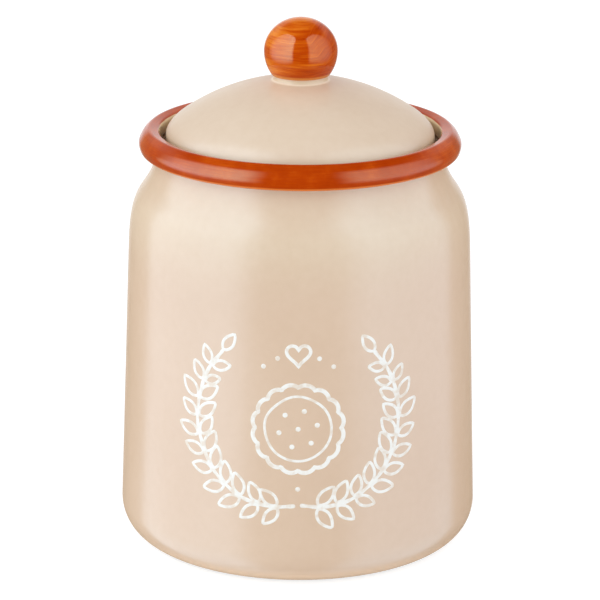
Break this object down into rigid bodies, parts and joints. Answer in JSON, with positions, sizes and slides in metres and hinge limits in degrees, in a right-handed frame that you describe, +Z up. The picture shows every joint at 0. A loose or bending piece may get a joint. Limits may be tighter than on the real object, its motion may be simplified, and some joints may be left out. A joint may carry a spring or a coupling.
{
  "type": "biscuit jar",
  "caption": "Stoneware biscuit jar with a leaning wall, rounded shoulder, rolled rim, recessed domed lid with a silicone seal, and a ball knob; the lid lifts off.",
  "frame": {"origin": "centre of the foot ring, on the surface that the jar stands on", "axes": "+Z up along the axis of the jar, towards the knob; -Y towards the decorated front; +X to the right seen from the front"},
  "size_m": [0.1686, 0.1686, 0.2485],
  "materials": {
    "cream_glaze": "satin cream glaze",
    "cognac_glaze": "gloss cognac glaze, brushed on round the rim",
    "lid_glaze": "satin cream glaze",
    "seal_silicone": "milky silicone, satin",
    "knob_lacquer": "turned wood, cognac stain under gloss lacquer",
    "insert_brass": "turned brass",
    "screw_steel": "bright zinc-plated steel",
    "washer_rubber": "matt black rubber"
  },
  "bodies": {
    "jar": {"jar_body": "cream_glaze", "rim_ring": "cognac_glaze"},
    "lid": {"lid": "lid_glaze", "lid_seal": "seal_silicone", "knob": "knob_lacquer", "knob_insert": "insert_brass", "knob_screw": "screw_steel", "screw_washer": "washer_rubber"}
  },
  "joints": [
    {"name": "lid_lift", "type": "slide", "parent": "jar", "child": "lid", "axis": [0, 0, 1], "range_m": [0, 0.12]}
  ]
}
